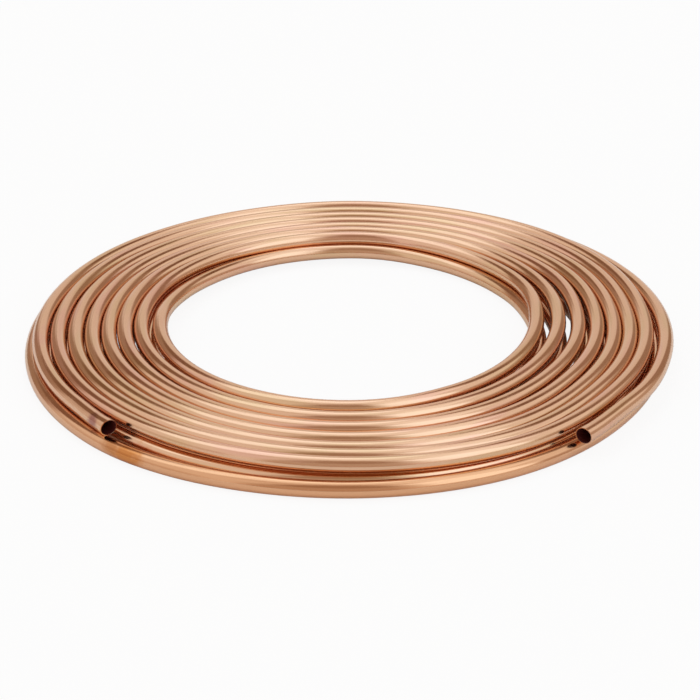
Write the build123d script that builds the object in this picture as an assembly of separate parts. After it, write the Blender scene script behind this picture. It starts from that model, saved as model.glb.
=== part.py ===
# Flat coil of soft copper tube, wound in two layers
# Millimetres. Origin: the middle of the underside. +X right, +Y back, +Z up.
from build123d import *
import os
from math import cos, radians, sin

os.makedirs("parts", exist_ok=True)

# The tube: 3/8 in outside, 0.032 in wall
TUBE_OD = 9.525
WALL = 0.81
TUBE_R = TUBE_OD / 2
BORE_R = TUBE_R - WALL

# The two layers. The upper turns settle a little way into the grooves of the lower ones.
SETTLE = 0.3
LOWER_Z = TUBE_R
UPPER_Z = LOWER_Z + TUBE_OD - SETTLE

# The lower layer's turns, as rings, counted from the outside
COIL_OD = 393.5
LOWER_TURNS, LOWER_GAP = 8, 0.49
LOWER_PITCH = TUBE_OD + LOWER_GAP
LOWER_OUTER = COIL_OD / 2 - TUBE_R  # radius of the tube's centre line
LOWER_INNER = LOWER_OUTER - LOWER_PITCH * (LOWER_TURNS - 1)

# The outermost upper turn runs clockwise seen from above, from the left end by the back to the right end.
# At equal steps of angle its centre line lies this far inside that of the turn below it.
RUN_START, RUN_STEP = 215.0, -14.0  # degrees from +X
RUN_INSETS = [2.6, 2.7, 3.2, 4.7, 6.3, 7.1, 7.4, 7.0, 6.3, 5.6, 5.2, 5.3, 5.2, 4.0, 2.3, 1.1, 0.4, 0.1, 0.1]
LEFT_STRAIGHT, RIGHT_STRAIGHT = 39.0, 45.0  # the stretch at each end that no longer bends

# The upper layer's other turns, as rings inside that run
UPPER_TURNS, UPPER_GAP = 7, 0.16
UPPER_PITCH = TUBE_OD + UPPER_GAP
UPPER_OUTER = LOWER_OUTER - max(RUN_INSETS) - UPPER_PITCH
UPPER_INNER = UPPER_OUTER - UPPER_PITCH * (UPPER_TURNS - 1)

# The web that joins the rings reaches this far past their centre planes: the floor of each groove
GROOVE_FLOOR = 1.9

# The rib that joins the outermost upper turn to the one below it, halfway between the two layers
RIB_WIDTH, RIB_HEIGHT = 8.4, 5.2


def tube_rings():
    """The section of both layers, one circle per turn and the web between them, turned about Z."""
    lower = [(LOWER_OUTER - LOWER_PITCH * i, LOWER_Z) for i in range(LOWER_TURNS)]
    upper = [(UPPER_OUTER - UPPER_PITCH * i, UPPER_Z) for i in range(UPPER_TURNS)]
    floor_z, roof_z = LOWER_Z - GROOVE_FLOOR, UPPER_Z + GROOVE_FLOOR
    shelf_z = LOWER_Z + GROOVE_FLOOR
    web = [(LOWER_INNER, floor_z), (LOWER_OUTER, floor_z), (LOWER_OUTER, shelf_z), (UPPER_OUTER, shelf_z),
           (UPPER_OUTER, roof_z), (UPPER_INNER, roof_z), (UPPER_INNER, UPPER_Z), (LOWER_INNER, LOWER_Z)]
    with BuildSketch(Plane.XZ) as section:
        with BuildLine():
            Polyline(*web, close=True)
        make_face()
        with Locations(*lower, *upper):
            Circle(TUBE_R)
    return revolve(section.sketch, Axis.Z, 360)


def run_point(i):
    """The i-th point of the outermost upper turn, and the direction anticlockwise from it."""
    angle, radius = radians(RUN_START + RUN_STEP * i), LOWER_OUTER - RUN_INSETS[i]
    return Vector(radius * cos(angle), radius * sin(angle), UPPER_Z), Vector(-sin(angle), cos(angle), 0)


def run_ends():
    """For each end: where the tube stops bending, its outward direction there, and how far it goes on."""
    (left, out_left), (right, back_right) = run_point(0), run_point(len(RUN_INSETS) - 1)
    return [(left, out_left, LEFT_STRAIGHT), (right, back_right * -1, RIGHT_STRAIGHT)]


def outer_run():
    """The outermost upper turn, a tube with two straight ends."""
    (left, out_left, left_length), (right, out_right, right_length) = run_ends()
    points = [run_point(i)[0] for i in range(len(RUN_INSETS))]
    bend = Spline(*points, tangents=(out_left * -1, out_right), tangent_scalars=(1, 1))
    start = left + out_left * left_length
    path = Wire([Line(start, left), bend, Line(right, right + out_right * right_length)])
    return sweep(Plane(origin=start, z_dir=out_left * -1) * Circle(TUBE_R), path=path)


def rib():
    middle = (LOWER_OUTER - RIB_WIDTH / 2, (LOWER_Z + UPPER_Z) / 2)
    section = Plane.XZ * Pos(*middle) * Rectangle(RIB_WIDTH, RIB_HEIGHT)
    turn = RUN_STEP * (len(RUN_INSETS) - 1)
    return Rot(0, 0, RUN_START + turn) * revolve(section, Axis.Z, -turn)


def end_bores():
    """The open bore of the tube in its two straight ends."""
    ends = (Align.CENTER, Align.CENTER, Align.MIN)
    return [Plane(origin=point, z_dir=out) * Cylinder(BORE_R, length, align=ends) for point, out, length in run_ends()]


coil = tube_rings() + rib() + outer_run()
for bore in end_bores():
    coil -= bore
export_step(coil, "parts/tube_coil.step")
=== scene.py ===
# %% [markdown]
# A flat coil of bare copper tube, drawn soft so that it bends by hand and rolled up in two layers for the shelf.
# The CAD model holds its place and its size, as closed rings. This lesson lays one real tube along those turns,
# gives it the finish of bright drawn copper, and lights it as a plain white studio would.

# %% Load the frame
import bmesh
import bpy
import math
import numpy as np
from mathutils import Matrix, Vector


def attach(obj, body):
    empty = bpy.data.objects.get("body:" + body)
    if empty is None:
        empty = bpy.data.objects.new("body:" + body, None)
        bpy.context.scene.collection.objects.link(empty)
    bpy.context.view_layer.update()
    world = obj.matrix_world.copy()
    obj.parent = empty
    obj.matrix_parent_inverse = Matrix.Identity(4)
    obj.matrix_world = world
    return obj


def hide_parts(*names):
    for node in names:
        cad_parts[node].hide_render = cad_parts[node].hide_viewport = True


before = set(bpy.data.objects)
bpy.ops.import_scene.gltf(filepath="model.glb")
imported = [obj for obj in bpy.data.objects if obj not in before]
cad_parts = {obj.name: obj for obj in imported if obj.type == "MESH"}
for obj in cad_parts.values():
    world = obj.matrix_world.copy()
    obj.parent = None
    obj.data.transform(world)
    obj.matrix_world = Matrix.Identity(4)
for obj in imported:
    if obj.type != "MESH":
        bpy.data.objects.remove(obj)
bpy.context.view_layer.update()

# %% [markdown]
# Everything follows from the tube: 3/8 inch outside, with a wall of 0.81 mm. Lengths are written in millimetres
# and turned to metres by MM, so that each one can be checked with a ruler.

# %% The tube's section
MM = 0.001
TUBE_D = 9.525
WALL = 0.81
TUBE_R, BORE_R = TUBE_D / 2, TUBE_D / 2 - WALL
LYING = TUBE_R  # height of the centre line of a tube that lies on the floor
print("bore, mm:", round(2 * BORE_R, 2))

# %% [markdown]
# The coil is one line, followed from its left mouth: seven turns spiral inwards on top, one steps down in the
# eye, seven spiral outwards below, and the last climbs to the right mouth. A true spiral would look like a
# machine drawing, because a hand-rolled coil is tight at the back and looser at the front. So the upper turns
# follow a rule at each of twelve spokes: where the outermost lies, and the pitch between the outer turns and
# between the inner ones. A place on the line is (travel, radius, height), with travel in degrees clockwise.
# The spokes' numbers weren't chosen by hand: a separate program fitted them, so that the settled turns lie near
# where they were measured in the photograph.

# %% The upper turns
ABOVE = 13.6  # height of the centre line in the upper layer, before the turns settle
TURNS_ABOVE = 7
SPOKES = {  # azimuth from the right, anticlockwise: (outermost radius, outer pitch, inner pitch)
    180: (188.7, 11.0, 9.2), 150: (194.4, 14.0, 6.6), 120: (191.0, 13.4, 5.5), 90: (184.4, 8.8, 8.3),
    60: (178.5, 4.0, 13.2), 30: (182.4, 7.5, 12.4), 0: (179.7, 8.5, 13.2), -30: (178.8, 9.0, 13.4),
    -60: (183.1, 9.1, 14.4), -90: (182.4, 8.9, 13.3), -120: (181.1, 9.3, 12.6), -150: (178.7, 9.5, 11.6),
}

def at(turn, azimuth, radius, height):
    """One place on the line. Turn 0 starts at the left mouth."""
    return (360 * turn - azimuth, radius, height)

def upper_radius(turn, outermost, outer_pitch, inner_pitch):
    """The pitch changes evenly from the outer turns to the inner ones."""
    change = (inner_pitch - outer_pitch) / (TURNS_ABOVE - 2)
    return outermost - outer_pitch * turn - change * turn * (turn - 1) / 2

places = [at(turn, azimuth, upper_radius(turn, *spoke), ABOVE)
          for turn in range(TURNS_ABOVE) for azimuth, spoke in SPOKES.items() if turn or azimuth <= 0]
print("places on the upper turns:", len(places))

# %% [markdown]
# What the rule can't give is listed place by place, as few places as each stretch needs: the first half turn with
# its straight end, the step down in the eye, the outermost turn on the floor, and the climb to the right mouth.

# %% The free stretches
FIRST_HALF = [(226.5, 193.1, 13.6), (215, 189.4, 12.8), (200, 189.3, 12.4), (178, 188.0, 12.6),
              (157, 186.7, 11.9), (137, 186.9, 11.9), (112, 187.5, 12.9), (90, 188.4, 13.5),
              (70, 187.6, 13.6), (48, 184.8, 13.6), (23, 182.9, 13.6)]
STEP_DOWN = [(180, 116.5, 13.4), (168, 117.6, 11.5), (157, 118.6, 10.0), (139, 120.0, 8.9), (120, 121.9, 8.6),
             (90, 123.8, 8.9), (70, 123.3, 7.9), (60, 122.9, 7.2), (47, 121.0, 6.1), (31, 118.6, 5.0),
             (5, 115.6, LYING)]
OUTERMOST_BELOW = [(-33, 187.5), (-48, 189.6), (-63, 191.2), (-81, 191.7), (-104, 192.6), (-121, 194.4),
                   (-132, 195.3), (-147, 194.5), (-166, 192.8), (-187, 192.2)]
CLIMB = [(90, 192.4, LYING), (75, 193.4, 5.5), (60, 194.8, 7.6), (48, 194.3, 9.8), (32, 193.4, 11.0),
         (13, 192.4, 12.0), (2, 191.9, 12.8), (-15, 191.7, 13.8), (-28, 192.4, 14.0), (-36.3, 191.9, 14.0),
         (-49.5, 196.3, 14.4)]

places += [at(0, *place) for place in FIRST_HALF]
places += [at(7, *place) for place in STEP_DOWN]
places += [at(13, azimuth, radius, LYING) for azimuth, radius in OUTERMOST_BELOW]
places += [at(14, *place) for place in CLIMB]
print("places so far:", len(places))

# %% [markdown]
# Six turns lie hidden under the upper ones and only show through the gaps between them, so four radii a turn
# are enough, from the eye outwards.

# %% The lower turns
BELOW = {-90: [120.0, 133.6, 145.5, 158.0, 170.5, 182.4], -184: [123.0, 137.0, 152.0, 162.0, 172.2, 182.6],
         -270: [133.4, 142.2, 153.2, 163.0, 172.8, 182.6], -355: [128.0, 144.2, 154.8, 165.4, 176.2, 185.8]}
for azimuth, radii in BELOW.items():
    places += [at(7 + i, azimuth, radius, LYING) for i, radius in enumerate(radii)]
places.sort()
print("turns in all:", round((places[-1][0] - places[0][0]) / 360, 2), "places:", len(places))

# %% [markdown]
# A curve through such places must not overshoot between them, or a turn would swing into its neighbour. A
# monotone cubic keeps between the two places on either side. It is read at 144 places a turn, every 2.5 degrees.

# %% A smooth line through the places
def through(x, y, wanted):
    """The monotone cubic through the places (x, y), read at each wanted x."""
    wide, slope = np.diff(x), np.diff(y) / np.diff(x)
    tilt = np.concatenate([slope[:1], np.zeros(len(x) - 2), slope[-1:]])
    for i in np.flatnonzero(slope[:-1] * slope[1:] > 0):
        near, far = wide[i] + 2 * wide[i + 1], 2 * wide[i] + wide[i + 1]
        tilt[i + 1] = (near + far) / (near / slope[i] + far / slope[i + 1])
    i = np.clip(np.searchsorted(x, wanted, side="right") - 1, 0, len(x) - 2)
    t = (wanted - x[i]) / wide[i]
    ends = (1 + 2 * t) * (1 - t) ** 2 * y[i] + t * t * (3 - 2 * t) * y[i + 1]
    return ends + t * (1 - t) * wide[i] * ((1 - t) * tilt[i] - t * tilt[i + 1])

PER_TURN = 144
travel, radius, height = np.array(places).T
fine = np.append(np.arange(travel[0], travel[-1], 360 / PER_TURN), travel[-1])
radius, height = through(travel, radius, fine), through(travel, height, fine)

# %% [markdown]
# Tubes can't pass through each other. The line settles as a real coil does when it is pressed flat: wherever two
# turns at the same azimuth are closer than a tube's width, both give way, the stiff tube spreads that move
# along its length, and its weight takes up the slack. The upper turns then ride in the lower ones' grooves and
# over their crests, which gives the slight waves that a real coil has. The first round is held near the places that
# were laid, so some turns are still squeezed, and the second round frees them.

# %% Let the turns settle
def settle(start, gap=TUBE_D + 0.08, passes=500, sink=0.01, hold=0.02, stiff=0.25):
    """start holds radius and height along the line, in mm. Returns the same, with no turn inside another."""
    moved = np.zeros_like(start)
    for _ in range(passes):
        now, push = start + moved, np.zeros_like(start)
        for lap in range(PER_TURN, start.shape[1], PER_TURN):
            between = now[:, lap:] - now[:, :-lap]
            share = np.clip(gap / np.hypot(*between) - 1, 0, None) / 4
            push[:, lap:] += between * share
            push[:, :-lap] -= between * share
        moved = (moved + push - [[0], [sink]]) * (1 - hold)
        moved[:, 1:-1] += stiff * (moved[:, :-2] - 2 * moved[:, 1:-1] + moved[:, 2:])
        moved[1] = np.maximum(moved[1], LYING - start[1])
    return start + moved

laid = np.stack([radius, height])
settled = settle(settle(laid), passes=400, sink=0, hold=0.005)
least = min(np.hypot(*(settled[:, lap:] - settled[:, :-lap])).min()
            for lap in range(PER_TURN, settled.shape[1], PER_TURN)) - TUBE_D
print("moved at most, mm:", np.abs(settled - laid).max(axis=1).round(1), "highest:", settled[1].max().round(1),
      "least gap:", round(float(least), 3))

azimuth = -np.radians(fine)
line = np.stack([settled[0] * np.cos(azimuth), settled[0] * np.sin(azimuth), settled[1]], axis=1) * MM
run = np.concatenate([[0], np.cumsum(np.linalg.norm(np.diff(line, axis=0), axis=1))])
print("length of tube, m:", round(float(run[-1]), 2))

# %% [markdown]
# One small function adds a node with its settings and links, for every tree below. Another turns an sRGB hex
# colour to the linear values that the nodes work in.

# %% Two helpers
def add_node(tree, kind, links=(), **settings):
    """Adds a node. links gives its inputs: each a value, an output to join, or a node for its first output."""
    node = tree.nodes.new(kind)
    for name, value in settings.items():
        setattr(node, name, value)
    for key, value in dict(links).items():
        if isinstance(value, bpy.types.Node):
            value = next(output for output in value.outputs if output.enabled)
        if isinstance(value, bpy.types.NodeSocket):
            tree.links.new(value, node.inputs[key])
        else:
            node.inputs[key].default_value = value
    return node

def linear(code):
    parts = [int(code[i:i + 2], 16) / 255 for i in (0, 2, 4)]
    return [c / 12.92 if c <= 0.04045 else ((c + 0.055) / 1.055) ** 2.4 for c in parts] + [1.0]

# %% [markdown]
# The tube is drawn through a die, so its skin is one circle swept along one line: a rule, and a job for
# Geometry Nodes. The line is made smooth, cut into even steps and kept upright, so that the circle never twists.
# Two attributes go with the mesh for the finish: how far along the tube each point is, and where it lies in the
# circle. The bore is the same sweep with a smaller circle and its faces turned round.

# %% The sweep
def sweep_tree():
    tree = bpy.data.node_groups.new("drawn_tube", "GeometryNodeTree")
    sockets = {"Line": "Geometry", "Radius": "Float", "Step": "Float", "Sides": "Int", "Bore": "Bool",
               "Material": "Material"}
    for name, kind in sockets.items():
        tree.interface.new_socket(name, in_out="INPUT", socket_type="NodeSocket" + kind)
    tree.interface.new_socket("Skin", in_out="OUTPUT", socket_type="NodeSocketGeometry")
    given = add_node(tree, "NodeGroupInput").outputs
    smooth = add_node(tree, "GeometryNodeCurveSplineType", {"Curve": given["Line"]}, spline_type="CATMULL_ROM")
    even = add_node(tree, "GeometryNodeResampleCurve", {"Curve": smooth.outputs[0], "Length": given["Step"]},
                    mode="LENGTH")
    upright = add_node(tree, "GeometryNodeSetCurveNormal", {"Curve": even.outputs[0]}, mode="Z_UP")
    so_far = add_node(tree, "GeometryNodeSplineParameter").outputs["Length"]
    marked = add_node(tree, "GeometryNodeStoreNamedAttribute",
                      {"Geometry": upright.outputs[0], "Name": "along", "Value": so_far}, domain="POINT")
    ring = add_node(tree, "GeometryNodeCurvePrimitiveCircle",
                    {"Resolution": given["Sides"], "Radius": given["Radius"]}, mode="RADIUS")
    spot = add_node(tree, "GeometryNodeInputPosition").outputs[0]
    section = add_node(tree, "GeometryNodeStoreNamedAttribute",
                       {"Geometry": ring.outputs[0], "Name": "section", "Value": spot},
                       data_type="FLOAT_VECTOR", domain="POINT")
    skin = add_node(tree, "GeometryNodeCurveToMesh",
                    {"Curve": marked.outputs[0], "Profile Curve": section.outputs[0]})
    turned = add_node(tree, "GeometryNodeFlipFaces", {"Mesh": skin.outputs[0], "Selection": given["Bore"]})
    real = add_node(tree, "GeometryNodeRealizeInstances", {"Geometry": turned.outputs[0]})
    dressed = add_node(tree, "GeometryNodeSetMaterial",
                       {"Geometry": real.outputs[0], "Material": given["Material"]})
    add_node(tree, "NodeGroupOutput", {"Skin": dressed.outputs[0]})
    return tree

sweep = sweep_tree()
print("nodes in the sweep:", len(sweep.nodes))

# %% [markdown]
# A modifier's inputs are set by each socket's identifier. The result is read back as a plain mesh, and the
# curve with its modifier is deleted, so nothing live is left on the piece.

# %% Make a skin from the line
def centre_line(points):
    curve = bpy.data.curves.new("centre_line", "CURVE")
    curve.dimensions = "3D"
    spline = curve.splines.new("POLY")
    spline.points.add(len(points) - 1)
    for point, place in zip(spline.points, points):
        point.co = (*place, 1.0)
    return bpy.data.objects.new("centre_line", curve)

def skin(tree, points, **inputs):
    source = centre_line(points)
    bpy.context.scene.collection.objects.link(source)
    modifier = source.modifiers.new("sweep", "NODES")
    modifier.node_group = tree
    for socket in tree.interface.items_tree:
        if socket.name in inputs:
            modifier[socket.identifier] = inputs[socket.name]
    mesh = bpy.data.meshes.new_from_object(source.evaluated_get(bpy.context.evaluated_depsgraph_get()))
    bpy.data.objects.remove(source)
    return mesh

copper = bpy.data.materials.new("bright_drawn_copper")
SIDES = 30
STEP_OUTSIDE, STEP_BORE = 7, 18  # mm along the tube; less of the bore is seen
outer = skin(sweep, line, Radius=TUBE_R * MM, Step=STEP_OUTSIDE * MM, Sides=SIDES, Bore=False, Material=copper)
inner = skin(sweep, line, Radius=BORE_R * MM, Step=STEP_BORE * MM, Sides=SIDES, Bore=True, Material=copper)
print("faces outside:", len(outer.polygons), "in the bore:", len(inner.polygons))

# %% [markdown]
# The mouths are what a buyer looks into. A tube cutter presses the end a little out of round, belled by a few
# tenths and not quite square, and the reamer then thins the rim to half the wall. So each end's two rings are
# widened, leaned to the angle of the cut, and joined by a rim with its edges broken.

# %% The two mouths
RIM = 0.6        # wall left at the rim
BELL = 0.22      # how much wider than the tube the mouth is, on the radius
BROKEN = 0.1     # width of the broken edges
SHARP = 50       # degrees: only the rim's own edges are sharper
CUTS = {"left": (-59, -7), "right": (-124, -3)}  # azimuth and elevation that each cut face looks along

def rims_of(bm):
    """The open rings of both skins, as lists of edges, by end."""
    rims = [edge for edge in bm.edges if edge.is_boundary]
    return {"left": [e for e in rims if e.verts[0].co.x < 0], "right": [e for e in rims if e.verts[0].co.x > 0]}

def shape_mouth(ring, centre, axis, cut):
    """Widens the end's rings and leans them onto the cut's plane."""
    for vert in {v for edge in ring for v in edge.verts}:
        spoke = vert.co - centre
        spoke -= axis * spoke.dot(axis)
        bore = spoke.length < (TUBE_R + BORE_R) / 2 * MM
        wanted = (TUBE_R + BELL - (RIM if bore else 0)) * MM
        vert.co = centre + spoke * (wanted / spoke.length)
        vert.co -= axis * ((vert.co - centre).dot(cut) / axis.dot(cut))

def closed_tube(outer, inner):
    bm = bmesh.new()
    bm.from_mesh(outer)
    bm.from_mesh(inner)
    for end, ring in rims_of(bm).items():
        centre, before = (Vector(line[i]) for i in ((0, 1) if end == "left" else (-1, -2)))
        turn, tilt = (math.radians(a) for a in CUTS[end])
        cut = Vector((math.cos(turn) * math.cos(tilt), math.sin(turn) * math.cos(tilt), math.sin(tilt)))
        shape_mouth(ring, centre, (centre - before).normalized(), cut)
        rim = bmesh.ops.bridge_loops(bm, edges=ring)["faces"]
        edges = {edge for face in rim for edge in face.edges} & set(ring)
        bmesh.ops.bevel(bm, geom=list(edges), offset=BROKEN * MM, segments=2, affect="EDGES")
    bmesh.ops.recalc_face_normals(bm, faces=bm.faces)
    print("open edges:", sum(e.is_boundary for e in bm.edges), "copper, cm3:", round(bm.calc_volume() * 1e6, 1),
          "triangles:", sum(len(f.verts) - 2 for f in bm.faces))
    mesh = bpy.data.meshes.new("copper_tube")
    bm.to_mesh(mesh)
    bm.free()
    return mesh

mesh = closed_tube(outer, inner)
mesh.materials.clear()
mesh.materials.append(copper)
mesh.shade_smooth()
mesh.set_sharp_from_angle(angle=math.radians(SHARP))
tube = bpy.data.objects.new("copper_tube", mesh)
bpy.context.scene.collection.objects.link(tube)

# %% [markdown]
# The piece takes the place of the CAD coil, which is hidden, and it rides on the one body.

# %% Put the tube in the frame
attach(tube, "root")
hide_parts("tube_coil")
DENSITY = 8940  # kg in a cubic metre of copper
print("weight of the tube, kg:", round(run[-1] * math.pi * (TUBE_R ** 2 - BORE_R ** 2) * MM ** 2 * DENSITY, 2))

# %% [markdown]
# Bright drawn copper is a bare metal, pink where it is clean and faintly straw or rose where the air has begun
# to film it. Drawing through the die leaves it a satin mirror with fine lines along the tube. The colour here is
# what the metal gives back at one bounce. A groove between two turns sends the light to and fro, so each bounce
# takes more green and blue, and the grooves turn red by themselves.

# %% Copper: where a point lies on the tube
copper.use_nodes = True
tree = copper.node_tree
metal = tree.nodes["Principled BSDF"]

along = add_node(tree, "ShaderNodeAttribute", attribute_name="along").outputs["Fac"]
section = add_node(tree, "ShaderNodeAttribute", attribute_name="section").outputs["Vector"]

def grain(across, length, detail, seed):
    """Noise in spots of that size in mm, across and along the tube. It closes round the section by itself."""
    size = (1 / (across * MM), 1 / (across * MM), 1.0)
    spot = add_node(tree, "ShaderNodeVectorMath", {0: section, 1: size}, operation="MULTIPLY")
    reach = add_node(tree, "ShaderNodeMath", {0: along, 1: 1 / (length * MM), 2: seed}, operation="MULTIPLY_ADD")
    shift = add_node(tree, "ShaderNodeCombineXYZ", {"Z": reach})
    place = add_node(tree, "ShaderNodeVectorMath", {0: spot, 1: shift}, operation="ADD")
    return add_node(tree, "ShaderNodeTexNoise", {"Vector": place, "Scale": 1.0, "Detail": detail})

# %% [markdown]
# The film lies in long soft patches where the tube was handled, so faint that it only breaks up the evenness.
# It is a little stronger at the front of the outermost turn below, which is the part that hands hold.
# Two colours show plainly at the left mouth, laid as spots: amber on the turn below, and mauve on the turn itself.
# Each is a soft-edged spot about a place in the coil, made ragged by noise.

# %% Copper: film and spots at the left mouth
CLEAN, STRAW, ROSE, AMBER = linear("E6BB9A"), linear("E0BA94"), linear("E5B59B"), linear("E4AF86")
HELD, HELD_REACH = 1.06, 0.24  # metres: how far before the right mouth hands hold the coil, and how far it spreads
MOUTH_SPOTS = {  # name: (x, y and z of its middle in mm, its reach in mm, colour, strength)
    "amber": ((-121.0, -157.0, 5.0), 19, "CF8546", 0.9),
    "amber, under the mouth": ((-131.0, -149.0, 8.0), 10, "C27F4B", 0.7),
    "mauve": ((-142.0, -134.5, 14.5), 9, "A8736A", 0.9),
}
film = grain(across=7, length=55, detail=2.0, seed=11.0)
colour = CLEAN
for tint, start, end in ((STRAW, 0.5, 0.68), (ROSE, 0.45, 0.3)):
    share = add_node(tree, "ShaderNodeMapRange", {"Value": film, "From Min": start, "From Max": end},
                     interpolation_type="SMOOTHSTEP")
    colour = add_node(tree, "ShaderNodeMix", {"Factor": share, 6: colour, 7: tint}, data_type="RGBA")

away = add_node(tree, "ShaderNodeMath", {0: along, 1: float(run[-1]) - HELD}, operation="SUBTRACT")
away = add_node(tree, "ShaderNodeMath", {0: away}, operation="ABSOLUTE")
share = add_node(tree, "ShaderNodeMapRange", {"Value": away, "From Min": HELD_REACH, "From Max": HELD_REACH / 3},
                 interpolation_type="SMOOTHSTEP")
colour = add_node(tree, "ShaderNodeMix", {"Factor": share, 6: colour, 7: AMBER}, data_type="RGBA")

here = add_node(tree, "ShaderNodeTexCoord").outputs["Object"]
ragged = add_node(tree, "ShaderNodeTexNoise", {"Vector": here, "Scale": 1 / (4 * MM), "Detail": 3.0})
for middle, reach, tint, strength in MOUTH_SPOTS.values():
    centre = [v * MM for v in middle]
    away = add_node(tree, "ShaderNodeVectorMath", {0: here, 1: centre}, operation="DISTANCE")
    edge = add_node(tree, "ShaderNodeMath", {0: ragged, 1: 0.7 * reach * MM, 2: away}, operation="MULTIPLY_ADD")
    share = add_node(tree, "ShaderNodeMapRange",
                     {"Value": edge, "From Min": 1.15 * reach * MM, "From Max": 0.55 * reach * MM,
                      "To Max": strength}, interpolation_type="SMOOTHSTEP")
    colour = add_node(tree, "ShaderNodeMix", {"Factor": share, 6: colour, 7: linear(tint)}, data_type="RGBA")
print("mouth_spots:", "; ".join(MOUTH_SPOTS))

# %% [markdown]
# The bore never meets the polished die or a cloth. It keeps the dull dark red oxide of annealing, which is no bare
# metal, so the mouths look maroon and not black.

# %% Copper: the bore
OXIDE, OXIDE_DULL = linear("50140F"), 0.6
OXIDE_R = BORE_R + WALL / 3
wide = add_node(tree, "ShaderNodeVectorMath", {0: section}, operation="LENGTH")
in_bore = add_node(tree, "ShaderNodeMath", {0: wide, 1: OXIDE_R * MM}, operation="LESS_THAN")
bare = add_node(tree, "ShaderNodeMath", {0: 1.0, 1: in_bore}, operation="SUBTRACT")
colour = add_node(tree, "ShaderNodeMix", {"Factor": in_bore, 6: colour, 7: OXIDE}, data_type="RGBA")
tree.links.new(colour.outputs[2], metal.inputs["Base Color"])
tree.links.new(bare.outputs[0], metal.inputs["Metallic"])
print("oxide inside a radius of, mm:", round(OXIDE_R, 2))

# %% [markdown]
# The die's lines are a few hundredths of a millimetre apart, too fine to show, so they are drawn 0.5 mm apart
# and shallow. Handling dulls the satin a little in patches.

# %% Copper: satin and die lines
SATIN, HANDLED = 0.15, 0.08  # roughness, and what handling adds to it
die_lines = grain(across=0.5, length=90, detail=1.0, seed=3.0)
handled = grain(across=4, length=16, detail=2.0, seed=29.0)
dull = add_node(tree, "ShaderNodeMapRange", {"Value": handled, "From Min": 0.5, "From Max": 0.75,
                                             "To Min": SATIN, "To Max": SATIN + HANDLED})
streak = add_node(tree, "ShaderNodeMapRange", {"Value": die_lines, "From Min": 0.35, "From Max": 0.65,
                                               "To Min": -0.03, "To Max": 0.03})
satin = add_node(tree, "ShaderNodeMath", {0: dull, 1: streak}, operation="ADD")
rough = add_node(tree, "ShaderNodeMix", {"Factor": in_bore, "A": satin, "B": OXIDE_DULL})
tree.links.new(rough.outputs[0], metal.inputs["Roughness"])
relief = add_node(tree, "ShaderNodeBump", {"Height": die_lines, "Strength": 0.25, "Distance": 0.02 * MM})
tree.links.new(relief.outputs[0], metal.inputs["Normal"])
print("nodes in the copper:", len(tree.nodes))

# %% [markdown]
# The floor is a sheet of white paper. Most of what the camera sees of it is plain white, and the rest is lit, so
# that a soft trace of the coil's shadow stays. The metal sees less of the plain white, because close to the coil
# the paper lies in its shade.

# %% Floor
HALF_FLOOR = 3.0     # metres
TO_CAMERA = 0.90     # share of plain white where the camera looks
TO_METAL = 0.04      # and where the metal does

white = bpy.data.materials.new("white_studio_paper")
white.use_nodes = True
tree = white.node_tree
tree.nodes.clear()
seen = add_node(tree, "ShaderNodeLightPath").outputs
by_metal = add_node(tree, "ShaderNodeMath", {0: seen["Is Glossy Ray"], 1: TO_METAL}, operation="MULTIPLY")
paper = add_node(tree, "ShaderNodeMath", {0: seen["Is Camera Ray"], 1: TO_CAMERA, 2: by_metal},
                 operation="MULTIPLY_ADD")
lit = add_node(tree, "ShaderNodeBsdfDiffuse", {"Color": linear("FAFAFA")})
plain = add_node(tree, "ShaderNodeEmission", {"Color": linear("FFFFFF"), "Strength": 1.0})
both = add_node(tree, "ShaderNodeMixShader", {0: paper, 1: lit, 2: plain})
add_node(tree, "ShaderNodeOutputMaterial", {"Surface": both})

corners = [(x * HALF_FLOOR, y * HALF_FLOOR, 0) for x, y in ((-1, -1), (1, -1), (1, 1), (-1, 1))]
sheet = bpy.data.meshes.new("floor")
sheet.from_pydata(corners, [], [(0, 1, 2, 3)])
sheet.materials.append(white)
floor = bpy.data.objects.new("floor", sheet)
bpy.context.scene.collection.objects.link(floor)
print("floor, m:", 2 * HALF_FLOOR)

# %% [markdown]
# Polished tube shows little but the room around it. A round tube reflects every direction at once, as fine
# stripes, so the stripes tell where the photographer's softboxes and dark corners were. The world is that room: a
# plain grey level, with soft-edged patches given by direction. Azimuth is counted from the camera's side to the
# right. The softboxes are a cool white, and what is darker in such a room is warmer: skin, wood and brown paper.
# So one level gives the colour too, as a power of itself for red and for blue, and at 1 it is plain white.
# The patches were placed on a map of the photograph's stripes by direction. Their levels were first fitted to
# that map by a separate program, and then changed by hand.

# %% The studio
world = bpy.data.worlds.new("studio")
bpy.context.scene.world = world
world.use_nodes = True
tree = world.node_tree
tree.nodes.clear()
way = add_node(tree, "ShaderNodeTexCoord").outputs["Generated"]
axes = add_node(tree, "ShaderNodeSeparateXYZ", {0: way}).outputs
rise = add_node(tree, "ShaderNodeMath", {0: axes["Z"]}, operation="ARCSINE")
elevation = add_node(tree, "ShaderNodeMath", {0: rise}, operation="DEGREES")
front = add_node(tree, "ShaderNodeMath", {0: axes["Y"], 1: -1.0}, operation="MULTIPLY")
bearing = add_node(tree, "ShaderNodeMath", {0: axes["X"], 1: front}, operation="ARCTAN2")
azimuth = add_node(tree, "ShaderNodeMath", {0: bearing}, operation="DEGREES")

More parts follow.
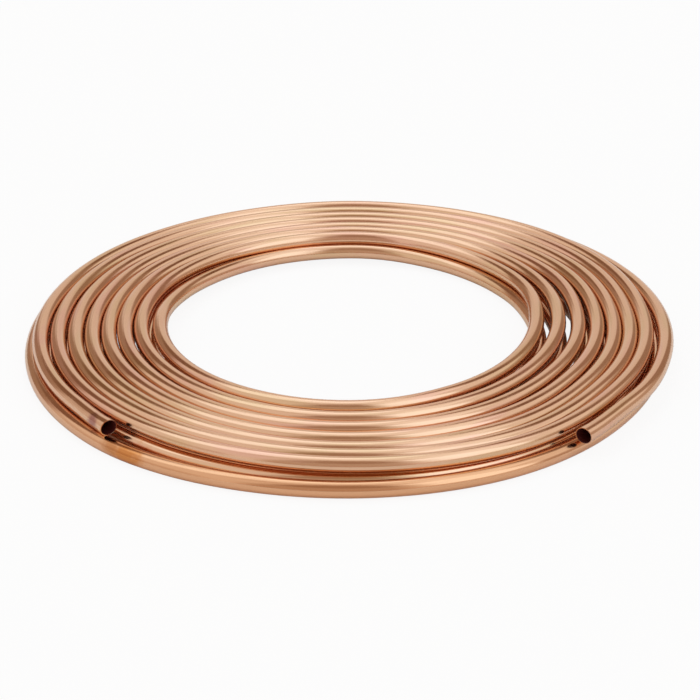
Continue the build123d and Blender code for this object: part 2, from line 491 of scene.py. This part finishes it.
STUDIO = {  # name: (azimuth of its middle, half its width, lowest and highest elevation, brightness)
    "ceiling": (0, 181, 78, 100, 0.92),
    "ceiling behind": (180, 105, 58, 82, 1.05),
    "left wall": (-80, 50, -30, 60, 0.82),
    "left wall, low": (-85, 40, -30, 22, 0.62),
    "softbox behind": (-169, 25, 44, 69, 1.50),
    "softbox behind, left": (-121, 34, 50, 76, 1.38),
    "softbox above right": (86, 36, 53, 80, 1.16),
    "softbox right": (49, 21, 17, 66, 1.50),
    "ceiling in front": (-8, 60, 79, 100, 0.52),
    "camera side": (-4, 25, 39, 80, 0.30),
    "camera side, low": (-6, 26, -30, 39, 0.44),
    "left corner behind": (-145, 20, 23, 53, 0.14),
    "left corner behind, low": (-138, 19, -30, 25, 0.26),
    "right corner behind": (147, 22, 36, 55, 0.13),
    "right corner behind, low": (140, 17, -30, 38, 0.25),
    "right wall": (101, 27, 22, 50, 0.88),
    "right wall, low": (98, 30, -30, 22, 0.42),
}
GREY = 0.72
SOFT_SIDE, SOFT_TOP = 4, 4.5  # half the width of a patch's soft edge, in degrees
WARM, COOL = 0.72, 1.23       # powers of the level that give red and blue
level = GREY
for middle, half, low, high, bright in STUDIO.values():
    turn = add_node(tree, "ShaderNodeMath", {0: azimuth, 1: middle}, operation="SUBTRACT")
    turn = add_node(tree, "ShaderNodeMath", {0: turn, 1: -180.0, 2: 180.0}, operation="WRAP")
    aside = add_node(tree, "ShaderNodeMath", {0: turn}, operation="ABSOLUTE")
    inside = 1.0
    for value, edge, soft in ((aside, half, -SOFT_SIDE), (elevation, high, -SOFT_TOP), (elevation, low, SOFT_TOP)):
        within = add_node(tree, "ShaderNodeMapRange",
                          {"Value": value, "From Min": edge - soft, "From Max": edge + soft},
                          interpolation_type="SMOOTHSTEP")
        inside = add_node(tree, "ShaderNodeMath", {0: inside, 1: within}, operation="MULTIPLY")
    level = add_node(tree, "ShaderNodeMix", {"Factor": inside, "A": level, "B": bright})
seen = add_node(tree, "ShaderNodeLightPath").outputs["Is Camera Ray"]
level = add_node(tree, "ShaderNodeMix", {"Factor": seen, "A": level, "B": 1.0})
red = add_node(tree, "ShaderNodeMath", {0: level, 1: WARM}, operation="POWER")
blue = add_node(tree, "ShaderNodeMath", {0: level, 1: COOL}, operation="POWER")
colour = add_node(tree, "ShaderNodeCombineColor", {"Red": red, "Green": level, "Blue": blue})
light = add_node(tree, "ShaderNodeBackground", {"Color": colour, "Strength": 1.0})
add_node(tree, "ShaderNodeOutputWorld", {"Surface": light})
print("patches in the studio:", len(STUDIO))

# %% [markdown]
# The camera stands in front and looks down by 25 degrees through a long lens, which keeps the back of the
# coil nearly as wide as the front. Its numbers come from a fit to the outlines in the photograph.

# %% Camera
LOOK_DOWN = math.radians(25.15)
DISTANCE = 1.223          # metres from the point it looks at
AIM = Vector((0, 0, 0.95 * TUBE_D * MM))
LENS, SENSOR = 102.34, 36  # mm
FRAME_SIDE = 700          # the picture is square
DROP = 22.3               # the coil's middle lies this many pixels above the picture's

camera = bpy.data.cameras.new("camera")
camera.lens, camera.sensor_width = LENS, SENSOR
camera.shift_y = -DROP / FRAME_SIDE
eye = bpy.data.objects.new("camera", camera)
eye.location = AIM + DISTANCE * Vector((0, -math.cos(LOOK_DOWN), math.sin(LOOK_DOWN)))
eye.rotation_euler = (math.pi / 2 - LOOK_DOWN, 0, 0)
bpy.context.scene.collection.objects.link(eye)
bpy.context.scene.camera = eye
print("camera at, m:", [round(v, 3) for v in eye.location])
bpy.context.scene.view_settings.view_transform = "Standard"

# %% [markdown]
# Light goes to and fro between two turns many times before it leaves the groove. Cycles stops after four
# reflections unless it is told otherwise, and then the grooves come out darker and less red than they are.

# %% Reflections in the grooves
REFLECTIONS = 12
bpy.context.scene.cycles.glossy_bounces = REFLECTIONS
print("reflections followed:", REFLECTIONS)
